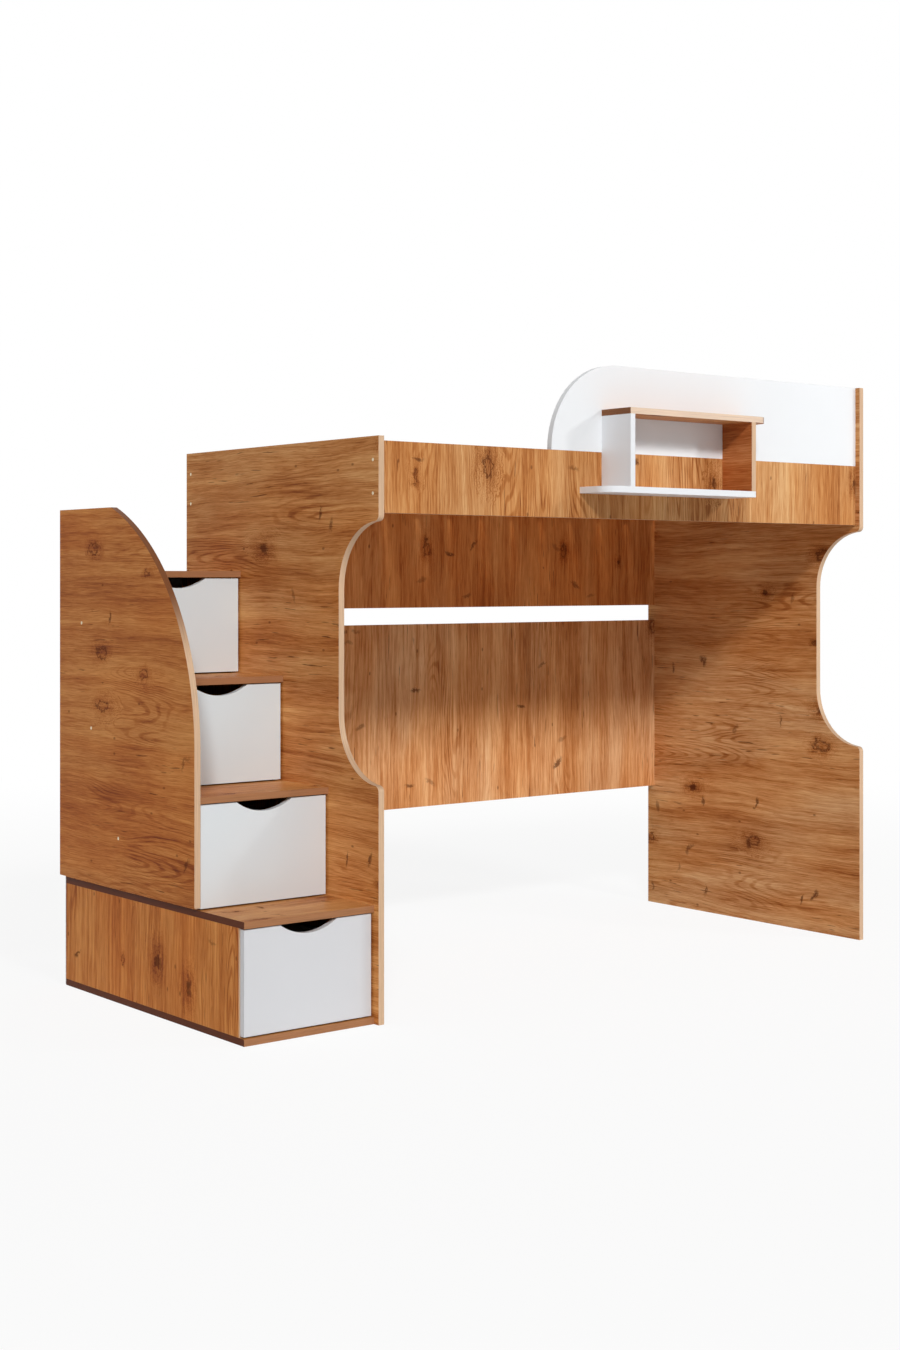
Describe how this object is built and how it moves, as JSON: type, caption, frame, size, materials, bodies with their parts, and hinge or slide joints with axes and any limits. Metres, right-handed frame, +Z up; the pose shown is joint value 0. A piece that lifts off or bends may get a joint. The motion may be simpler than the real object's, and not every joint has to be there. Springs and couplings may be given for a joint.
{
  "type": "loft bed",
  "caption": "Loft bed with a staircase of drawers at its foot end, open space below, a rounded guard board and a small shelf hung on its front rail.",
  "frame": {"origin": "on the floor, in the middle of the footprint", "axes": "+X along the bed from its foot end with the stairs to its head end, +Y from the front to the wall, +Z up"},
  "size_m": [2.358, 1.073, 1.779],
  "materials": {
    "oak_board": "satin oak-effect laminate, grain along the board's length",
    "oak_board_upright": "satin oak-effect laminate, grain upright",
    "white_board": "smooth white laminate",
    "hardboard": "thin sheet, pale face",
    "beech": "planed solid beech",
    "zinc_steel": "zinc plated",
    "webbing": "woven strap"
  },
  "bodies": {
    "bed": {"foot_end_panel": "oak_board", "head_end_panel": "oak_board", "stair_side_panel": "oak_board", "stair_base_board": "oak_board", "shelf_top_board": "oak_board", "shelf_right_side": "oak_board", "stair_tread_1": "oak_board", "stair_tread_2": "oak_board", "stair_tread_3": "oak_board", "stair_tread_4": "oak_board", "front_rail": "oak_board_upright", "upper_back_board": "oak_board_upright", "lower_back_board": "oak_board_upright", "stair_box_1_left_side": "oak_board_upright", "stair_box_1_right_side": "oak_board_upright", "stair_box_2_left_side": "oak_board_upright", "stair_box_2_right_side": "oak_board_upright", "stair_box_3_left_side": "oak_board_upright", "stair_box_3_right_side": "oak_board_upright", "stair_box_4_left_side": "oak_board_upright", "stair_box_4_right_side": "oak_board_upright", "guard_board": "white_board", "shelf_left_side": "white_board", "shelf_bottom_board": "white_board", "stair_back_panel": "hardboard", "slat_cleats": "beech", "slats": "beech", "drawer_runner_strips": "beech", "frame_dowels": "beech", "stair_dowels": "beech", "slat_straps": "webbing", "frame_screws": "zinc_steel", "slatted_base_screws": "zinc_steel", "stair_screws": "zinc_steel"},
    "drawer_1": {"drawer_1_front": "white_board", "drawer_1_left_side": "white_board", "drawer_1_right_side": "white_board", "drawer_1_back": "white_board", "drawer_1_bottom": "hardboard", "drawer_1_dowels": "beech"},
    "drawer_2": {"drawer_2_front": "white_board", "drawer_2_left_side": "white_board", "drawer_2_right_side": "white_board", "drawer_2_back": "white_board", "drawer_2_bottom": "hardboard", "drawer_2_dowels": "beech"},
    "drawer_3": {"drawer_3_front": "white_board", "drawer_3_left_side": "white_board", "drawer_3_right_side": "white_board", "drawer_3_back": "white_board", "drawer_3_bottom": "hardboard", "drawer_3_dowels": "beech"},
    "drawer_4": {"drawer_4_front": "white_board", "drawer_4_left_side": "white_board", "drawer_4_right_side": "white_board", "drawer_4_back": "white_board", "drawer_4_bottom": "hardboard", "drawer_4_dowels": "beech"}
  },
  "joints": [
    {"name": "drawer_1_slide", "type": "slide", "parent": "bed", "child": "drawer_1", "axis": [0, -1, 0], "range_m": [0, 0.77]},
    {"name": "drawer_2_slide", "type": "slide", "parent": "bed", "child": "drawer_2", "axis": [0, -1, 0], "range_m": [0, 0.562]},
    {"name": "drawer_3_slide", "type": "slide", "parent": "bed", "child": "drawer_3", "axis": [0, -1, 0], "range_m": [0, 0.342]},
    {"name": "drawer_4_slide", "type": "slide", "parent": "bed", "child": "drawer_4", "axis": [0, -1, 0], "range_m": [0, 0.122]}
  ]
}
